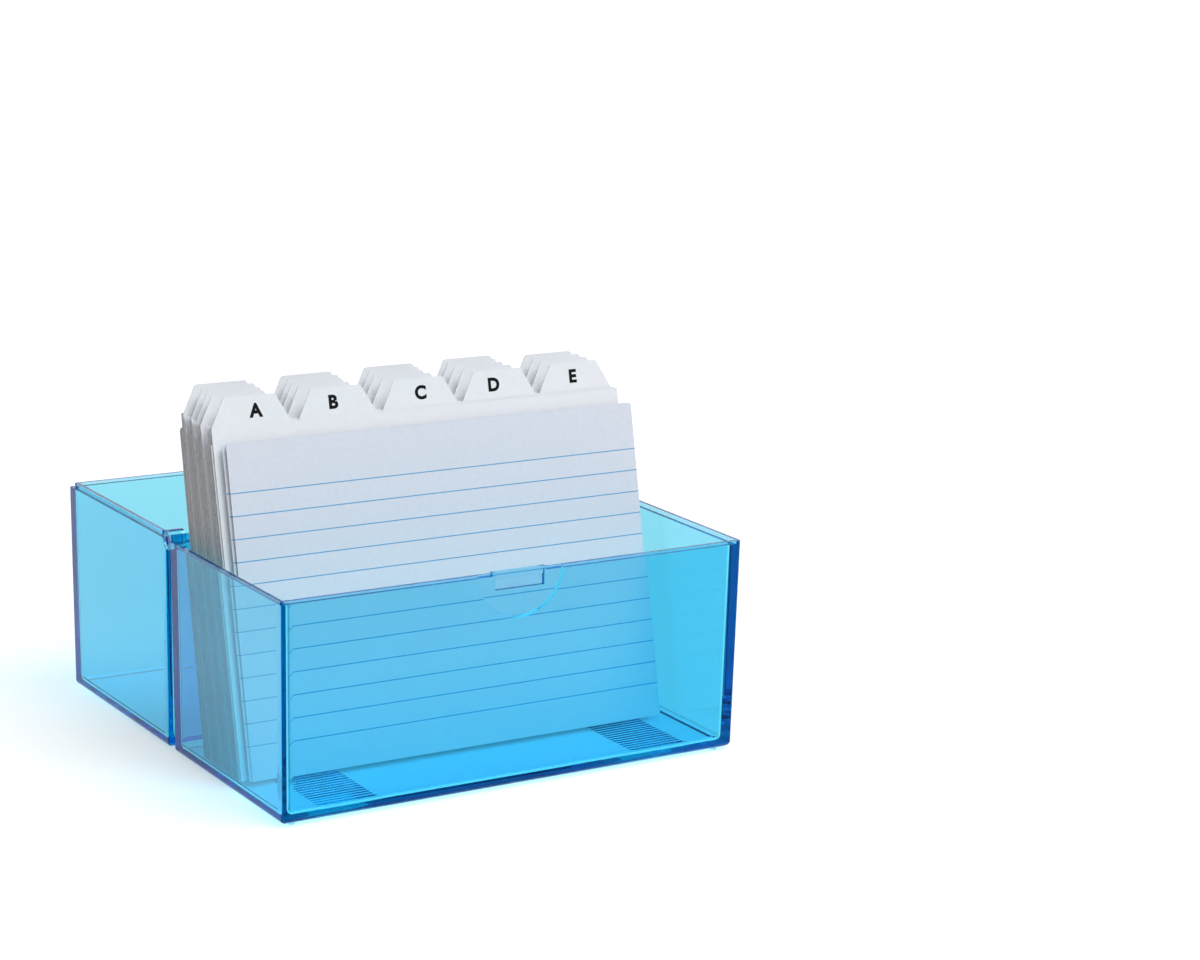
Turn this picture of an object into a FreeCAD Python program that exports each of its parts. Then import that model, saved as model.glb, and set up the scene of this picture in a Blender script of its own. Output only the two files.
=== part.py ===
import FreeCAD, Part
import math
import os
from FreeCAD import Vector

# Clear plastic box for index cards, standing open, with ruled cards and lettered dividers.
# Millimetres. +X is to the right, +Y runs from the tray to the open lid, +Z is up.
# The origin is on the table, under the middle of the hinge axis.
# Both halves are drawn about the hinge axis, reaching towards -Y with the rim just below it,
# and the lid is then turned half a turn about Z, which lays it open behind the tray.

# Box halves
box_width = 164.0
box_depth = 80.0
half_height = 70.0
wall = 2.6
base_thickness = 2.2
draft_angle = 0.6
outer_floor_radius = 2.0
outer_upright_radius = 0.5
inner_radius = 2.0
seam_gap = 0.2

# Lap joint round the rim
lip_height = 1.4
lip_thickness = 1.2
lap_clearance = 0.15
lap_root_clearance = 0.1
lap_end = 5.7
lap_end_clearance = 0.3

# Finger recess and latch
recess_radius = 15.5
recess_depth = 0.7
recess_slope = 0.7
tongue_width = 16.3
tongue_slit = 0.5
tongue_root_gap = 0.1
tongue_reach = 4.2
tongue_tip_thickness = 0.7
barb_reach = 0.6
barb_flat = 0.4
catch_clearance = 0.15
pocket_side_clearance = 0.65
bar_height = 2.5
window_height = 3.3
window_skin = 0.45
land_margin = 0.8
land_clearance = 0.3

# Hinge
pin_radius = 1.5
pin_clearance = 0.05
pin_end_inset = 0.3
hinge_side_gap = 0.15
knuckle_radius = 2.6
ear_radius = 3.3
ear_length = 5.0
turning_clearance = 0.3
knuckle_from_side = 20.0
lid_knuckle_length = 18.0
tray_knuckle_length = 12.0

# Foot nubs under the tray
foot_height = 1.0
foot_radius = 1.0
foot_root = 1.2
foot_from_side = 5.4
foot_from_edge = 3.8

# Ridges on the floor that keep the cards from sliding
rib_pitch = 2.0
rib_width = 0.7
rib_height = 0.3
rib_root = 0.3
rib_patch_width = 20.0
rib_patch_from_side = 13.0
rib_wall_gap = 0.3

# Cards and dividers: the cards fill the tray's width but for some room at each side
card_side_room = 5.4
card_height = 105.0
card_thickness = 0.18
card_corner_radius = 1.0
divider_thickness = 0.25
backing_gap = 0.02
cards_per_divider = 2
shoulder_height = 109.6
tab_rise = 9.3
tab_base_width = 27.6
tab_slope = 5.0
tab_corner_radius = 1.2
tab_columns = 5
divider_names = ["a", "b", "c", "d", "e", "f", "g", "h", "i", "j", "k", "l", "m", "n", "o", "pq",
                 "r", "s", "t", "u", "v", "w", "xy", "z"]

# How the cards stand in the tray. The last ones lean on the rim of the tray's back wall,
# and the others follow forwards, by one pitch along the floor and another at the height of the rim.
standing_clearance = 0.05
back_rim_clearance = 0.3
last_foot_from_wall = 14.8
divider_pitch = 1.135
divider_rim_pitch = 0.99
first_row_rim_lead = 1.6
second_card_foot_gap = 1.45
second_card_rim_gap = 1.8
front_card_foot_gap = 0.35
front_card_rim_gap = 0.85
pack_shift = -2.0
second_card_shift = 0.1
front_card_shift = 1.0
sheet_stray = 0.5
sheet_stray_step = 2.4

# One overrun serves every cut
overrun = 5.0

# Worked out from the sizes above
hinge_offset = pin_radius + hinge_side_gap
rim_z = -seam_gap / 2
floor_z = rim_z - half_height + base_thickness
hinge_z = foot_height + half_height + seam_gap / 2
front_y = -hinge_offset - box_depth
front_inner_y = front_y + wall
back_inner_y = -hinge_offset - wall
inner_half_width = box_width / 2 - wall
floor_inset = (half_height - base_thickness) * math.tan(math.radians(draft_angle))
tongue_half = tongue_width / 2
slot_half = tongue_half + tongue_slit
pocket_half = tongue_half + pocket_side_clearance
land_half = pocket_half + land_margin
tongue_tip_y = front_y + recess_depth
tongue_back_y = tongue_tip_y + tongue_tip_thickness
bore_radius = pin_radius + pin_clearance
ear_start = box_width / 2 - ear_length
lid_knuckle_end = box_width / 2 - knuckle_from_side
lid_knuckle_start = lid_knuckle_end - lid_knuckle_length
tray_knuckle_end = lid_knuckle_start - turning_clearance
tray_knuckle_start = lid_knuckle_start - tray_knuckle_length
rib_patch_start = inner_half_width - rib_patch_from_side - rib_patch_width
rib_top_z = foot_height + base_thickness + rib_height
card_width = 2 * (inner_half_width - card_side_room)
rim_rise = foot_height + half_height - rib_top_z - standing_clearance
bundle_thickness = divider_thickness + cards_per_divider * (backing_gap + card_thickness)
last_foot_y = back_inner_y - last_foot_from_wall
last_rim_y = back_inner_y - back_rim_clearance - bundle_thickness

x_axis = Vector(1, 0, 0)
y_axis = Vector(0, 1, 0)
z_axis = Vector(0, 0, 1)

# Edges of two radii that meet at a corner are rounded together, which needs a document
workshop = FreeCAD.newDocument("card_box")


def block(x_low, x_high, y_low, y_high, z_low, z_high):
    corner = Vector(x_low, y_low, z_low)
    return Part.makeBox(x_high - x_low, y_high - y_low, z_high - z_low, corner)


def rectangle(width, depth, z):
    half_x = width / 2
    half_y = depth / 2
    corners = [Vector(-half_x, -half_y, z), Vector(half_x, -half_y, z), Vector(half_x, half_y, z),
               Vector(-half_x, half_y, z), Vector(-half_x, -half_y, z)]
    return Part.makePolygon(corners)


# A block that narrows downwards from its open top at z = 0, with its floor and upright edges rounded
def tapered_block(width, depth, height, floor_radius, upright_radius):
    inset = height * math.tan(math.radians(draft_angle))
    low_ring = rectangle(width - 2 * inset, depth - 2 * inset, -height)
    top_ring = rectangle(width, depth, 0)
    body = workshop.addObject("Part::Feature", "body")
    body.Shape = Part.makeLoft([low_ring, top_ring], True, True)
    radii = []
    for number, edge in enumerate(body.Shape.Edges, 1):
        box = edge.BoundBox
        if box.ZLength > height / 2:
            radii.append((number, upright_radius, upright_radius))
        elif box.ZMax < -height / 2:
            radii.append((number, floor_radius, floor_radius))
    rounded = workshop.addObject("Part::Fillet", "rounded")
    rounded.Base = body
    rounded.Edges = radii
    workshop.recompute()
    return rounded.Shape.copy()


# The same cylinder along X on both sides of the middle
def paired_cylinders(x_from, x_to, radius):
    right = Part.makeCylinder(radius, x_to - x_from, Vector(x_from, 0, 0), x_axis)
    left = Part.makeCylinder(radius, x_to - x_from, Vector(-x_to, 0, 0), x_axis)
    return [right, left]


def rod_bore():
    half = box_width / 2 + overrun
    return Part.makeCylinder(bore_radius, 2 * half, Vector(-half, 0, 0), x_axis)


# Half of the round finger recess falls on each half of the box
def finger_recess():
    spread = recess_slope / recess_depth
    mouth_radius = recess_radius + overrun * spread
    floor_radius = recess_radius - recess_slope
    mouth = Vector(0, front_y - overrun, 0)
    return Part.makeCone(mouth_radius, floor_radius, overrun + recess_depth, mouth, y_axis)


# One open half of the box, before its hinge, rim and latch details
def half_shell():
    outside = tapered_block(box_width, box_depth, half_height, outer_floor_radius, outer_upright_radius)
    inside = tapered_block(box_width - 2 * wall, box_depth - 2 * wall, half_height - base_thickness,
                           inner_radius, inner_radius)
    shell = outside.cut(inside)
    shell.translate(Vector(0, -hinge_offset - box_depth / 2, rim_z))
    return shell.cut(finger_recess())


# The step inside the tray's rim that the lid's lip drops into
def lap_step():
    reach = lip_thickness + lap_clearance
    side = inner_half_width + reach
    back = -hinge_offset - lap_end + lap_end_clearance
    bottom = rim_z - lip_height - lap_root_clearance + seam_gap
    step = block(-side, side, front_inner_y - reach, back, bottom, rim_z + overrun)
    land = block(-land_half, land_half, front_y, front_inner_y, bottom - overrun, rim_z + overrun)
    return step.cut(land)


# The lid's lip: the inner half of its wall carried past the rim
def lap_lip():
    side = inner_half_width + lip_thickness
    back = -hinge_offset - lap_end
    top = rim_z + lip_height
    ring = block(-side, side, front_inner_y - lip_thickness, back, rim_z, top)
    hollow = block(-inner_half_width, inner_half_width, front_inner_y, back + overrun, rim_z - overrun,
                   top + overrun)
    gap_half = land_half + land_clearance
    latch_gap = block(-gap_half, gap_half, front_y, front_inner_y, rim_z - overrun, top + overrun)
    return ring.cut(hollow).cut(latch_gap)


# The tray's pocket for the tongue, and under its ledge a deeper hollow that leaves a thin skin
def latch_opening():
    window_top = rim_z - bar_height
    window_bottom = window_top - window_height
    pocket_floor_y = tongue_back_y + catch_clearance
    window_floor_y = front_inner_y - window_skin
    outside_y = front_y - overrun
    pocket = block(-pocket_half, pocket_half, outside_y, pocket_floor_y, window_bottom, rim_z + overrun)
    window = block(-pocket_half, pocket_half, outside_y, window_floor_y, window_bottom, window_top)
    return pocket.fuse(window)


# Two patches of low ridges, one near each side of the tray's floor, as the teeth of a comb sunk in the floor
def floor_ribs():
    start_y = front_inner_y + floor_inset + rib_wall_gap
    end_y = back_inner_y - floor_inset - rib_wall_gap
    count = int((end_y - start_y) / rib_pitch)
    root_z = floor_z - rib_root
    half_base = rib_width / 2 * (rib_height + rib_root) / rib_height
    points = [Vector(rib_patch_start, start_y, root_z - rib_root)]
    for k in range(count):
        crest_y = start_y + rib_pitch / 2 + k * rib_pitch
        points.append(Vector(rib_patch_start, crest_y - half_base, root_z))
        points.append(Vector(rib_patch_start, crest_y, floor_z + rib_height))
        points.append(Vector(rib_patch_start, crest_y + half_base, root_z))
    points.append(Vector(rib_patch_start, start_y + count * rib_pitch, root_z - rib_root))
    points.append(points[0])
    patch = Part.Face(Part.makePolygon(points)).extrude(x_axis * rib_patch_width)
    twin = patch.copy()
    twin.translate(x_axis * (-2 * rib_patch_start - rib_patch_width))
    return [patch, twin]


def foot_nubs():
    nubs = []
    base_z = rim_z - half_height
    for side in (-1, 1):
        for y in (front_y + foot_from_edge, -hinge_offset - foot_from_edge):
            x = side * (box_width / 2 - foot_from_side)
            centre = Vector(x, y, base_z - foot_height)
            nubs.append(Part.makeCylinder(foot_radius, foot_height + foot_root, centre))
    return nubs


# The tray carries the two end ears, the inner pair of knuckles, the ribs and the feet
def tray_shell():
    shell = half_shell().cut(lap_step()).cut(latch_opening())
    clear = knuckle_radius + turning_clearance
    notches = paired_cylinders(tray_knuckle_end, lid_knuckle_end + turning_clearance, clear)
    shell = shell.cut(notches)
    ears = paired_cylinders(ear_start, box_width / 2, ear_radius)
    knuckles = paired_cylinders(tray_knuckle_start, tray_knuckle_end, knuckle_radius)
    for added in (ears, knuckles, floor_ribs(), foot_nubs()):
        shell = shell.fuse(added)
    return shell.cut(rod_bore())


# The lid has the outer pair of knuckles, the lip, and a slot where its tongue stands
def lid_shell():
    shell = half_shell()
    ear_notches = paired_cylinders(ear_start - turning_clearance, box_width / 2 + overrun,
                                   ear_radius + turning_clearance)
    knuckle_notches = paired_cylinders(tray_knuckle_start - turning_clearance, lid_knuckle_start,
                                       knuckle_radius + turning_clearance)
    shell = shell.cut(ear_notches + knuckle_notches)
    knuckles = paired_cylinders(lid_knuckle_start, lid_knuckle_end, knuckle_radius)
    shell = shell.fuse(lap_lip()).fuse(knuckles)
    inner_reach = front_inner_y + floor_inset + inner_radius
    slot = block(-slot_half, slot_half, front_y - overrun, inner_reach, floor_z, rim_z + overrun)
    return shell.cut(slot).cut(rod_bore())


# The strip of the lid's front wall that flexes, with its reach past the rim and its barb
def latch_tongue():
    inner_reach = front_inner_y + floor_inset + inner_radius
    strip = half_shell().common(block(-tongue_half, tongue_half, front_y - overrun, inner_reach,
                                      floor_z + tongue_root_gap, rim_z))
    tip_z = rim_z + tongue_reach
    reach = block(-tongue_half, tongue_half, tongue_tip_y, tongue_back_y, rim_z, tip_z)
    hook_z = rim_z + bar_height + seam_gap + catch_clearance
    barb_y = tongue_back_y + barb_reach
    outline = [Vector(-tongue_half, tongue_back_y, hook_z), Vector(-tongue_half, barb_y, hook_z),
               Vector(-tongue_half, barb_y, hook_z + barb_flat), Vector(-tongue_half, tongue_back_y, tip_z),
               Vector(-tongue_half, tongue_back_y, hook_z)]
    barb = Part.Face(Part.makePolygon(outline)).extrude(x_axis * tongue_width)
    return strip.fuse(reach).fuse(barb)


def hinge_rod():
    half = box_width / 2 - pin_end_inset
    return Part.makeCylinder(pin_radius, 2 * half, Vector(-half, 0, 0), x_axis)


# A flat sheet in the XZ plane from its outline, with the corners at or above a height rounded
def sheet(outline, thickness, corner_radius, rounded_from):
    points = [Vector(x, 0, z) for x, z in outline]
    face = Part.Face(Part.makePolygon(points + [points[0]]))
    plate = face.extrude(y_axis * thickness)
    corners = [e for e in plate.Edges
               if e.BoundBox.YLength > thickness / 2 and e.BoundBox.ZLength < thickness
               and e.BoundBox.ZMin > rounded_from]
    return plate.makeFillet(corner_radius, corners)


def card():
    half = card_width / 2
    outline = [(-half, 0), (half, 0), (half, card_height), (-half, card_height)]
    return sheet(outline, card_thickness, card_corner_radius, card_height / 2)


def divider(column):
    half = card_width / 2
    tab_pitch = (card_width - tab_base_width) / (tab_columns - 1)
    left = -half + column * tab_pitch
    right = left + tab_base_width
    top = shoulder_height + tab_rise
    outline = [(-half, 0), (half, 0)]
    if column < tab_columns - 1:
        outline.append((half, shoulder_height))
    outline += [(right, shoulder_height), (right - tab_slope, top), (left + tab_slope, top),
                (left, shoulder_height)]
    if column > 0:
        outline.append((-half, shoulder_height))
    return sheet(outline, divider_thickness, tab_corner_radius, shoulder_height + tab_rise / 2)


# Stands a sheet in the tray, leaned back about its foot so far that it passes a place at the rim's height
def stand(plate, body_thickness, shift, foot_y, rim_y):
    lean = math.atan((rim_y - foot_y) / rim_rise)
    lift = standing_clearance + body_thickness * math.sin(lean)
    placed = plate.copy()
    placed.rotate(Vector(0, 0, 0), x_axis, -math.degrees(lean))
    placed.translate(Vector(shift, foot_y, rib_top_z + lift))
    return placed


def stray(number):
    return sheet_stray * math.sin(number * sheet_stray_step)


# The first row of dividers leans forward a little more than the others
def divider_places(number):
    from_last = len(divider_names) - 1 - number
    lead = first_row_rim_lead if number < tab_columns else 0
    foot_y = last_foot_y - from_last * divider_pitch
    rim_y = last_rim_y - from_last * divider_rim_pitch - lead
    return foot_y, rim_y


# The two loose cards in front of the first divider
def loose_cards():
    foot_y, rim_y = divider_places(0)
    foot_y -= second_card_foot_gap
    rim_y -= second_card_rim_gap
    second = stand(card(), card_thickness, second_card_shift, foot_y, rim_y)
    foot_y -= front_card_foot_gap
    rim_y -= front_card_rim_gap
    front = stand(card(), card_thickness, front_card_shift, foot_y, rim_y)
    return front, second


# Each divider has its cards standing against its back
def divider_and_cards(number):
    foot_y, rim_y = divider_places(number)
    sheets = 1 + cards_per_divider
    shift = pack_shift + stray(number * sheets)
    front = stand(divider(number % tab_columns), bundle_thickness, shift, foot_y, rim_y)
    behind = []
    for k in range(cards_per_divider):
        backing = card()
        backing.translate(y_axis * (divider_thickness + backing_gap + k * (card_thickness + backing_gap)))
        shift = pack_shift + stray(number * sheets + k + 1)
        behind.append(stand(backing, bundle_thickness, shift, foot_y, rim_y))
    return front, Part.makeCompound(behind)


def save(shape, node):
    shape.exportStep("parts/" + node + ".step")
    print(node, len(shape.Solids), shape.isValid(), round(shape.Volume, 1))


def main():
    os.makedirs("parts", exist_ok=True)
    lift = z_axis * hinge_z
    tray = tray_shell()
    rod = hinge_rod()
    lid = lid_shell()
    tongue = latch_tongue()
    for shape in (lid, tongue):
        shape.rotate(Vector(0, 0, 0), z_axis, 180)
    halves = ((tray, "tray_shell"), (rod, "hinge_rod"), (lid, "lid_shell"), (tongue, "latch_tongue"))
    for shape, node in halves:
        shape.translate(lift)
        save(shape, node)
    front, second = loose_cards()
    save(front, "ruled_card_front")
    save(second, "ruled_card_second")
    for number, name in enumerate(divider_names):
        front, behind = divider_and_cards(number)
        save(front, "divider_" + name)
        save(behind, "cards_" + name)


main()
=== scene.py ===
import math

import bmesh
import bpy
from mathutils import Matrix, Vector


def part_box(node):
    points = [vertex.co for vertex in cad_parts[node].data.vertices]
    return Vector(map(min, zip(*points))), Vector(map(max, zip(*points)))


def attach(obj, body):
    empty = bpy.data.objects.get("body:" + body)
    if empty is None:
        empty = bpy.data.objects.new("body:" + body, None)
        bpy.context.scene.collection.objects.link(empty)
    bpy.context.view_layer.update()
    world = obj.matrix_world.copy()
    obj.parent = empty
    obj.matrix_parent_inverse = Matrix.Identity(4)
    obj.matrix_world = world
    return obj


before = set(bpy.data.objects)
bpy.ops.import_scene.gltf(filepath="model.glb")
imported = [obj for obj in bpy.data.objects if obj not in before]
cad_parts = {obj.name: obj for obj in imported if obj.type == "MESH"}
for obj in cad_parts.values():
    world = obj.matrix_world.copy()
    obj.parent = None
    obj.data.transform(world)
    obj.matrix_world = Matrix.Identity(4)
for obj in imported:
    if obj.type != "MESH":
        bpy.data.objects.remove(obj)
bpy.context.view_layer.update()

# The box stands open: tray in front, lid folded back behind it. Metres, in the frame of the CAD model.
MM = 0.001

# Sheets as they are cut
CARD_THICKNESS = 0.18 * MM
DIVIDER_THICKNESS = 0.25 * MM
TAB_RISE = 9.3 * MM
TAB_BASE = 27.6 * MM
TAB_COLUMNS = 5

# Ruling printed on the cards; the header is the blank strip above the first line
RULING_PITCH = 7.15 * MM
RULING_LINES = 12
RULING_HEADER = 15.4 * MM
RULING_WIDTH = 0.34 * MM

# Of the cards behind the dividers only these show their ruling at the side
RULED_NODES = ("cards_b", "cards_d")

# Letters printed on the tabs, a little beside the tab's middle as the five visible ones are
LETTER_HEIGHT = 4.3 * MM
LETTER_WEIGHT = 0.26 * MM
LETTER_STAND_OFF = 0.03 * MM
LETTER_SIDESTEPS = (1.8 * MM, -1.4 * MM, 0.4 * MM, -1.8 * MM, -0.7 * MM)
LETTER_DROP = 4.3 * MM
CAPITAL_SHARE = 0.73

# The camera as it stood for the photograph: 32 degrees round to the left, 13 degrees above the table
CAMERA_PLACE = Vector((-453.5, -849.6, 310.5)) * MM
CAMERA_YAW = math.radians(32.08)
CAMERA_PITCH = math.radians(13.28)
CAMERA_ROLL = math.radians(1.40)
CAMERA_LENS = 89.76
CAMERA_SENSOR = 36.0

# Soft lamps: name, place and side in metres, power in watts
LAMPS = (("key", (0.45, -0.85, 1.7), 1.2, 28.0),
         ("fill", (-0.6, -1.5, 0.7), 1.2, 3.0),
         ("back", (-0.3, 1.4, 1.1), 1.4, 6.0))
LAMP_TARGET = Vector((0, 0, 0.06))
AMBIENT = 0.34
FLOOR_HALF_SIDE = 6.0

# The plastic is crossed many times along its edges, where light runs inside the wall
WALL_CROSSINGS = 64
SHADOW_CROSSINGS = 24


def linear(hex_colour):
    """An sRGB hex colour as linear red, green, blue and alpha."""
    channels = [int(hex_colour[i:i + 2], 16) / 255 for i in (0, 2, 4)]
    return [c / 12.92 if c <= 0.04045 else ((c + 0.055) / 1.055) ** 2.4 for c in channels] + [1.0]


def add_node(tree, kind, inputs=None, **settings):
    """Adds a node with its settings; an input's value is a constant or another node's output."""
    made = tree.nodes.new(kind)
    for name, value in settings.items():
        setattr(made, name, value)
    for socket, value in (inputs or {}).items():
        if isinstance(value, bpy.types.NodeSocket):
            tree.links.new(value, made.inputs[socket])
        else:
            made.inputs[socket].default_value = value
    return made


def new_material(name):
    material = bpy.data.materials.new(name)
    material.use_nodes = True
    material.node_tree.nodes.clear()
    return material, material.node_tree


# Clear tinted polystyrene, injection moulded against polished steel: a hard gloss with a faint waviness about
# 20 mm long. The surface gives the thin walls their light blue, and the absorption deepens it with the length
# of the way through the plastic, so that the edges turn navy. The lamps shine through the walls, and each
# face that their light passes tints it with the square root of the surface's colour.
def clear_blue_polystyrene():
    material, tree = new_material("clear_blue_polystyrene")
    place = add_node(tree, "ShaderNodeTexCoord").outputs["Object"]
    waves = add_node(tree, "ShaderNodeTexNoise", {"Vector": place, "Scale": 1 / (20 * MM), "Detail": 1.0})
    bump = add_node(tree, "ShaderNodeBump", {"Height": waves.outputs["Fac"], "Strength": 0.25,
                                             "Distance": 0.05 * MM})
    handling = add_node(tree, "ShaderNodeTexNoise", {"Vector": place, "Scale": 1 / (8 * MM), "Detail": 3.0})
    gloss = add_node(tree, "ShaderNodeMapRange", {"Value": handling.outputs["Fac"], "From Min": 0.45,
                                                  "From Max": 0.75, "To Min": 0.0, "To Max": 0.03})
    plastic = add_node(tree, "ShaderNodeBsdfPrincipled",
                       {"Base Color": linear("B5E2F6"), "IOR": 1.59, "Transmission Weight": 1.0,
                        "Specular Tint": linear("0095E7"), "Roughness": gloss.outputs["Result"],
                        "Normal": bump.outputs["Normal"]})
    clear = add_node(tree, "ShaderNodeBsdfTransparent", {"Color": linear("D7F0FA")})
    shadow = add_node(tree, "ShaderNodeLightPath").outputs["Is Shadow Ray"]
    surface = add_node(tree, "ShaderNodeMixShader", {0: shadow, 1: plastic.outputs[0], 2: clear.outputs[0]})
    tint = add_node(tree, "ShaderNodeVolumeAbsorption", {"Color": linear("00F4FA"), "Density": 210.0})
    add_node(tree, "ShaderNodeOutputMaterial", {"Surface": surface.outputs[0], "Volume": tint.outputs[0]})
    return material


# Smooth uncoated card, rolled and cut: matt, with fibres about half a millimetre long and a faint cloudiness
# of 1.5 mm. Its cut edges, which face sideways, are painted grey as painted shade of the pack's unlit side,
# streaked every 0.3 mm.
def card_stock(name, colour, shade, ruled=None):
    material, tree = new_material(name)
    place = add_node(tree, "ShaderNodeTexCoord").outputs["Object"]
    cloud = add_node(tree, "ShaderNodeTexNoise", {"Vector": place, "Scale": 1 / (1.5 * MM), "Detail": 4.0,
                                                  "Roughness": 0.6})
    tone = add_node(tree, "ShaderNodeMapRange", {"Value": cloud.outputs["Fac"], "From Min": 0.3,
                                                 "From Max": 0.7})
    paper = add_node(tree, "ShaderNodeMix", {0: tone.outputs["Result"], 6: linear(colour), 7: linear(shade)},
                     data_type="RGBA")
    cut = turned_along(tree, "X")
    # Painted shade: the sideways cut edges get a dark grey, darker in streaks, for the shade on the pack's
    # unlit side
    streak_coords = add_node(tree, "ShaderNodeVectorMath", {0: place, 1: (0.02, 1.0, 0.02)}, operation="MULTIPLY")
    streaks = add_node(tree, "ShaderNodeTexNoise", {"Vector": streak_coords.outputs[0], "Scale": 1 / (0.3 * MM),
                                                    "Detail": 2.0})
    edge_shade_streaks = add_node(tree, "ShaderNodeMapRange", {"Value": streaks.outputs["Fac"], "From Min": 0.35,
                                                   "From Max": 0.65})
    edge_painted_shade = add_node(tree, "ShaderNodeMix", {0: edge_shade_streaks.outputs["Result"], 6: linear("8E8A84"),
                                               7: linear("DAD8D4")}, data_type="RGBA")
    whole = add_node(tree, "ShaderNodeMix", {0: cut, 6: paper.outputs[2], 7: edge_painted_shade.outputs[2]},
                     data_type="RGBA")
    skin = whole.outputs[2]
    if ruled:
        ink = add_node(tree, "ShaderNodeMix", {0: ruled(tree, place), 6: skin, 7: linear("5AA0CE")},
                       data_type="RGBA")
        skin = ink.outputs[2]
    fibres = add_node(tree, "ShaderNodeTexNoise", {"Vector": place, "Scale": 1 / (0.5 * MM), "Detail": 4.0})
    bump = add_node(tree, "ShaderNodeBump", {"Height": fibres.outputs["Fac"], "Strength": 0.2,
                                             "Distance": 0.02 * MM})
    sheet = add_node(tree, "ShaderNodeBsdfPrincipled", {"Base Color": skin, "Roughness": 0.75, "IOR": 1.5,
                                                        "Normal": bump.outputs["Normal"]})
    add_node(tree, "ShaderNodeOutputMaterial", {"Surface": sheet.outputs[0]})
    return material


# A value that is 1 where the surface faces mostly along an axis, either way
def turned_along(tree, axis):
    facing = add_node(tree, "ShaderNodeNewGeometry").outputs["True Normal"]
    part = add_node(tree, "ShaderNodeSeparateXYZ", {0: facing}).outputs[axis]
    size = add_node(tree, "ShaderNodeMath", {0: part}, operation="ABSOLUTE").outputs[0]
    return add_node(tree, "ShaderNodeMath", {0: size, 1: 0.5}, operation="GREATER_THAN").outputs[0]


# A value that is 1 on the lines printed on the faces of a card, measured up the card from its foot
def ruling(node):
    foot, lean, card_height = sheet_stance(node, CARD_THICKNESS)
    low_line = card_height - RULING_HEADER - (RULING_LINES - 1) * RULING_PITCH
    half_width = RULING_WIDTH / RULING_PITCH / 2

    def build(tree, place):
        def calculate(operation, first, second=0.0):
            return add_node(tree, "ShaderNodeMath", {0: first, 1: second}, operation=operation).outputs[0]

        upright = add_node(tree, "ShaderNodeSeparateXYZ", {0: place}).outputs["Z"]
        along = calculate("MULTIPLY", calculate("SUBTRACT", upright, foot.z), 1 / math.cos(lean))
        steps = calculate("DIVIDE", calculate("SUBTRACT", along, low_line), RULING_PITCH)
        nearest = calculate("ROUND", steps)
        kept = add_node(tree, "ShaderNodeClamp", {0: nearest, 1: 0.0, 2: RULING_LINES - 1.0}).outputs[0]
        distance = calculate("ABSOLUTE", calculate("SUBTRACT", steps, kept))
        return calculate("MULTIPLY", calculate("LESS_THAN", distance, half_width), turned_along(tree, "Y"))

    return build


# Black printing ink on card: flat, nearly no gloss, with a grain of 0.4 mm
def printed_black():
    material, tree = new_material("printed_black")
    place = add_node(tree, "ShaderNodeTexCoord").outputs["Object"]
    grain = add_node(tree, "ShaderNodeTexNoise", {"Vector": place, "Scale": 1 / (0.4 * MM)})
    ink = add_node(tree, "ShaderNodeMix", {0: grain.outputs["Fac"], 6: linear("060608"), 7: linear("0E0E12")},
                   data_type="RGBA")
    skin = add_node(tree, "ShaderNodeBsdfPrincipled", {"Base Color": ink.outputs[2], "Roughness": 0.9,
                                                       "Specular IOR Level": 0.2})
    add_node(tree, "ShaderNodeOutputMaterial", {"Surface": skin.outputs[0]})
    return material


def dress(node, material):
    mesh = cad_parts[node].data
    mesh.materials.clear()
    mesh.materials.append(material)


# A leaning sheet's foot on its front face, its lean and its height, from the corners of its box
def sheet_stance(node, thickness):
    low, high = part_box(node)
    run = high.y - low.y
    rise = high.z - low.z
    lean = math.atan2(run, rise)
    lean = math.atan2(run - thickness * math.cos(lean), rise - thickness * math.sin(lean))
    foot_z = low.z + thickness * math.sin(lean)
    height = (high.z - foot_z) / math.cos(lean)
    return Vector(((low.x + high.x) / 2, low.y, foot_z)), lean, height


# One letter, or two, printed on a divider's tab
def tab_letter(node, number, ink):
    text = node.split("_")[1].upper()
    foot, lean, height = sheet_stance(node, DIVIDER_THICKNESS)
    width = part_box(node)[1].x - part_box(node)[0].x
    column = number % TAB_COLUMNS
    tab_pitch = (width - TAB_BASE) / (TAB_COLUMNS - 1)
    across = -width / 2 + TAB_BASE / 2 + column * tab_pitch + LETTER_SIDESTEPS[column]
    up = height - TAB_RISE + LETTER_DROP
    curve = bpy.data.curves.new("letter_" + text, "FONT")
    curve.body = text
    curve.align_x = "CENTER"
    curve.align_y = "CENTER"
    curve.size = LETTER_HEIGHT / CAPITAL_SHARE
    curve.offset = LETTER_WEIGHT
    curve.resolution_u = 8
    drawn = bpy.data.objects.new("drawn_" + text, curve)
    bpy.context.scene.collection.objects.link(drawn)
    bpy.context.view_layer.update()
    mesh = bpy.data.meshes.new_from_object(drawn.evaluated_get(bpy.context.evaluated_depsgraph_get()))
    bpy.data.objects.remove(drawn)
    lift = Vector((foot.x + across,
                   foot.y + up * math.sin(lean) - LETTER_STAND_OFF * math.cos(lean),
                   foot.z + up * math.cos(lean) + LETTER_STAND_OFF * math.sin(lean)))
    mesh.transform(Matrix.Translation(lift) @ Matrix.Rotation(math.pi / 2 - lean, 4, "X"))
    mesh.materials.clear()
    mesh.materials.append(ink)
    letter = bpy.data.objects.new("letter_" + text, mesh)
    bpy.context.scene.collection.objects.link(letter)
    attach(letter, node)


def dress_the_box():
    plastic = clear_blue_polystyrene()
    for node in ("tray_shell", "lid_shell", "latch_tongue", "hinge_rod"):
        dress(node, plastic)


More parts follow.
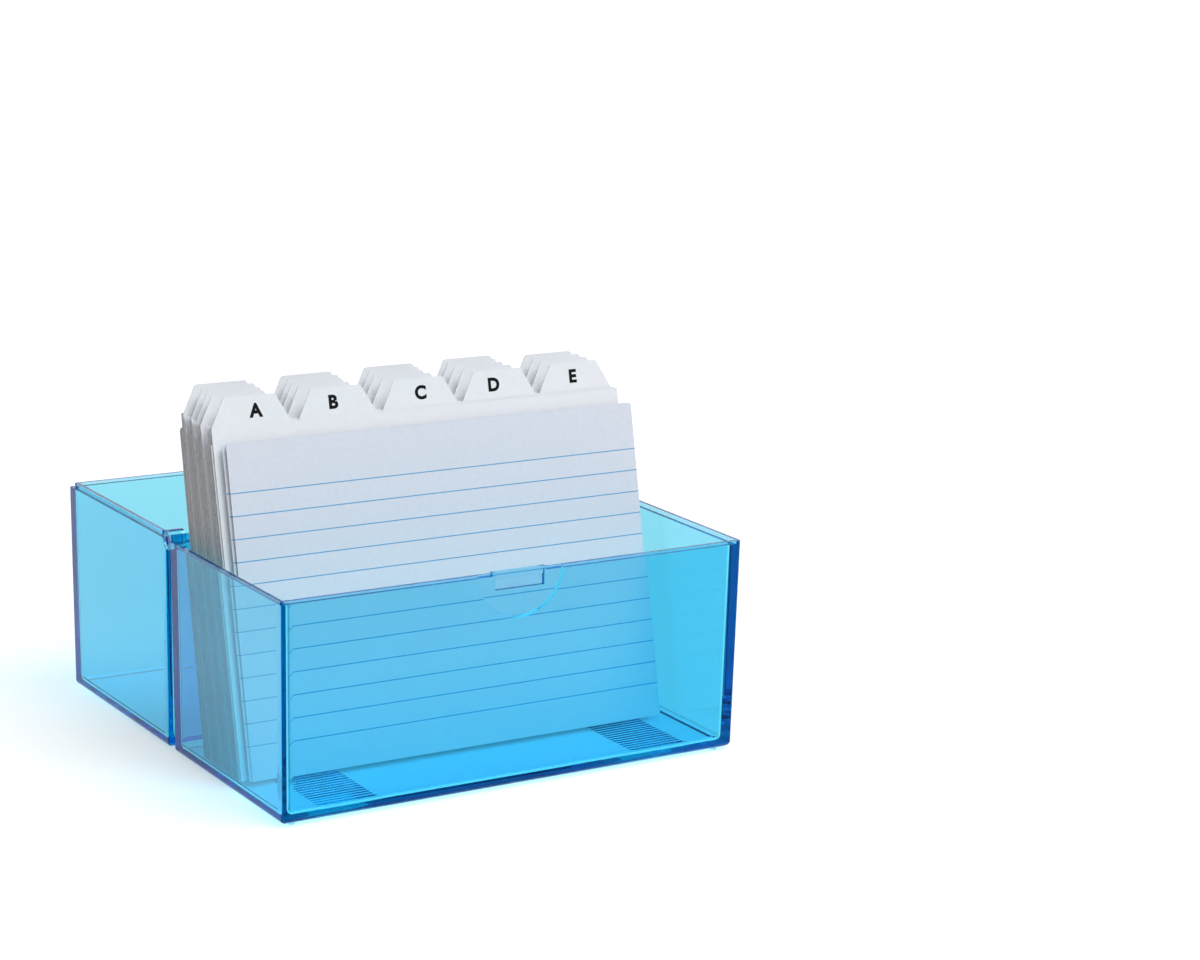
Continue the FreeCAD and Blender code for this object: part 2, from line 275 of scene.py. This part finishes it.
# The loose cards have their own materials, because each one's ruling is measured from its own foot
def dress_the_cards():
    for node in ("ruled_card_front", "ruled_card_second"):
        dress(node, card_stock(node, "DCE0EA", "D7DBE7", ruling(node)))
    ruled = card_stock("ruled_card", "DDDEE2", "D6D8DD", ruling("cards_l"))
    blank = card_stock("blank_card", "DDDEE2", "D6D8DD")
    plain = card_stock("divider_card", "E9ECF1", "E5E8EE")
    ink = printed_black()
    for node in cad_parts:
        if node.startswith("cards_"):
            dress(node, ruled if node in RULED_NODES else blank)
    dividers = (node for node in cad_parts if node.startswith("divider_"))
    for number, node in enumerate(sorted(dividers, key=lambda n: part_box(n)[0].y)):
        dress(node, plain)
        tab_letter(node, number, ink)


def camera():
    ahead = Vector((math.sin(CAMERA_YAW) * math.cos(CAMERA_PITCH),
                    math.cos(CAMERA_YAW) * math.cos(CAMERA_PITCH), -math.sin(CAMERA_PITCH)))
    level = Vector((math.cos(CAMERA_YAW), -math.sin(CAMERA_YAW), 0))
    above = level.cross(ahead)
    right = level * math.cos(CAMERA_ROLL) + above * math.sin(CAMERA_ROLL)
    up = above * math.cos(CAMERA_ROLL) - level * math.sin(CAMERA_ROLL)
    data = bpy.data.cameras.new("camera")
    data.sensor_width = CAMERA_SENSOR
    data.lens = CAMERA_LENS
    data.clip_start = 0.01
    seer = bpy.data.objects.new("camera", data)
    seer.matrix_world = Matrix.Translation(CAMERA_PLACE) @ Matrix((right, up, -ahead)).transposed().to_4x4()
    bpy.context.scene.collection.objects.link(seer)
    bpy.context.scene.camera = seer


# 1 for rays that show the backdrop itself, seen straight, mirrored or through the plastic
def seen_directly(tree):
    path = add_node(tree, "ShaderNodeLightPath").outputs
    mirrored = add_node(tree, "ShaderNodeMath", {0: path["Is Glossy Ray"], 1: path["Is Transmission Ray"]},
                        operation="MAXIMUM").outputs[0]
    return add_node(tree, "ShaderNodeMath", {0: path["Is Camera Ray"], 1: mirrored},
                    operation="MAXIMUM").outputs[0]


# An even, soft ambient light, with a white backdrop for the rays that show it
def studio_world():
    world = bpy.data.worlds.new("studio")
    world.use_nodes = True
    bpy.context.scene.world = world
    tree = world.node_tree
    tree.nodes.clear()
    ambient = add_node(tree, "ShaderNodeBackground", {"Color": linear("FFFFFF"), "Strength": AMBIENT})
    white = add_node(tree, "ShaderNodeBackground", {"Color": linear("FFFFFF"), "Strength": 1.0})
    both = add_node(tree, "ShaderNodeMixShader", {0: seen_directly(tree), 1: ambient.outputs[0],
                                                  2: white.outputs[0]})
    add_node(tree, "ShaderNodeOutputWorld", {"Surface": both.outputs[0]})


def studio_lamps():
    for name, spot, size, power in LAMPS:
        data = bpy.data.lights.new(name, "AREA")
        data.size = size
        data.energy = power
        lamp = bpy.data.objects.new(name, data)
        lamp.location = spot
        lamp.rotation_euler = (LAMP_TARGET - Vector(spot)).to_track_quat("-Z", "Y").to_euler()
        bpy.context.scene.collection.objects.link(lamp)


# Matt white paper that keeps the shadow near the box; away from it, the rays that show it see it turn white
def studio_floor():
    material, tree = new_material("studio_floor")
    paper = add_node(tree, "ShaderNodeBsdfDiffuse", {"Color": linear("CECECE")})
    place = add_node(tree, "ShaderNodeTexCoord").outputs["Object"]
    away = add_node(tree, "ShaderNodeVectorMath", {0: place}, operation="LENGTH").outputs["Value"]
    level = add_node(tree, "ShaderNodeMapRange", {"Value": away, "From Min": 0.15, "From Max": 1.0,
                                                  "To Min": 0.45, "To Max": 0.9},
                     interpolation_type="SMOOTHSTEP")
    glow = add_node(tree, "ShaderNodeEmission", {"Color": linear("FFFFFF"),
                                                 "Strength": level.outputs["Result"]})
    dark = add_node(tree, "ShaderNodeEmission", {"Strength": 0.0})
    shown = add_node(tree, "ShaderNodeMixShader", {0: seen_directly(tree), 1: dark.outputs[0],
                                                   2: glow.outputs[0]})
    both = add_node(tree, "ShaderNodeAddShader", {0: paper.outputs[0], 1: shown.outputs[0]})
    add_node(tree, "ShaderNodeOutputMaterial", {"Surface": both.outputs[0]})
    shape = bmesh.new()
    bmesh.ops.create_grid(shape, x_segments=1, y_segments=1, size=FLOOR_HALF_SIDE)
    mesh = bpy.data.meshes.new("floor")
    shape.to_mesh(mesh)
    shape.free()
    mesh.materials.append(material)
    floor = bpy.data.objects.new("floor", mesh)
    bpy.context.scene.collection.objects.link(floor)


def light_paths():
    cycles = bpy.context.scene.cycles
    cycles.max_bounces = WALL_CROSSINGS
    cycles.glossy_bounces = WALL_CROSSINGS
    cycles.transmission_bounces = WALL_CROSSINGS
    cycles.transparent_max_bounces = SHADOW_CROSSINGS
    bpy.context.scene.view_settings.view_transform = "Standard"


dress_the_box()
dress_the_cards()
camera()
studio_world()
studio_lamps()
studio_floor()
light_paths()
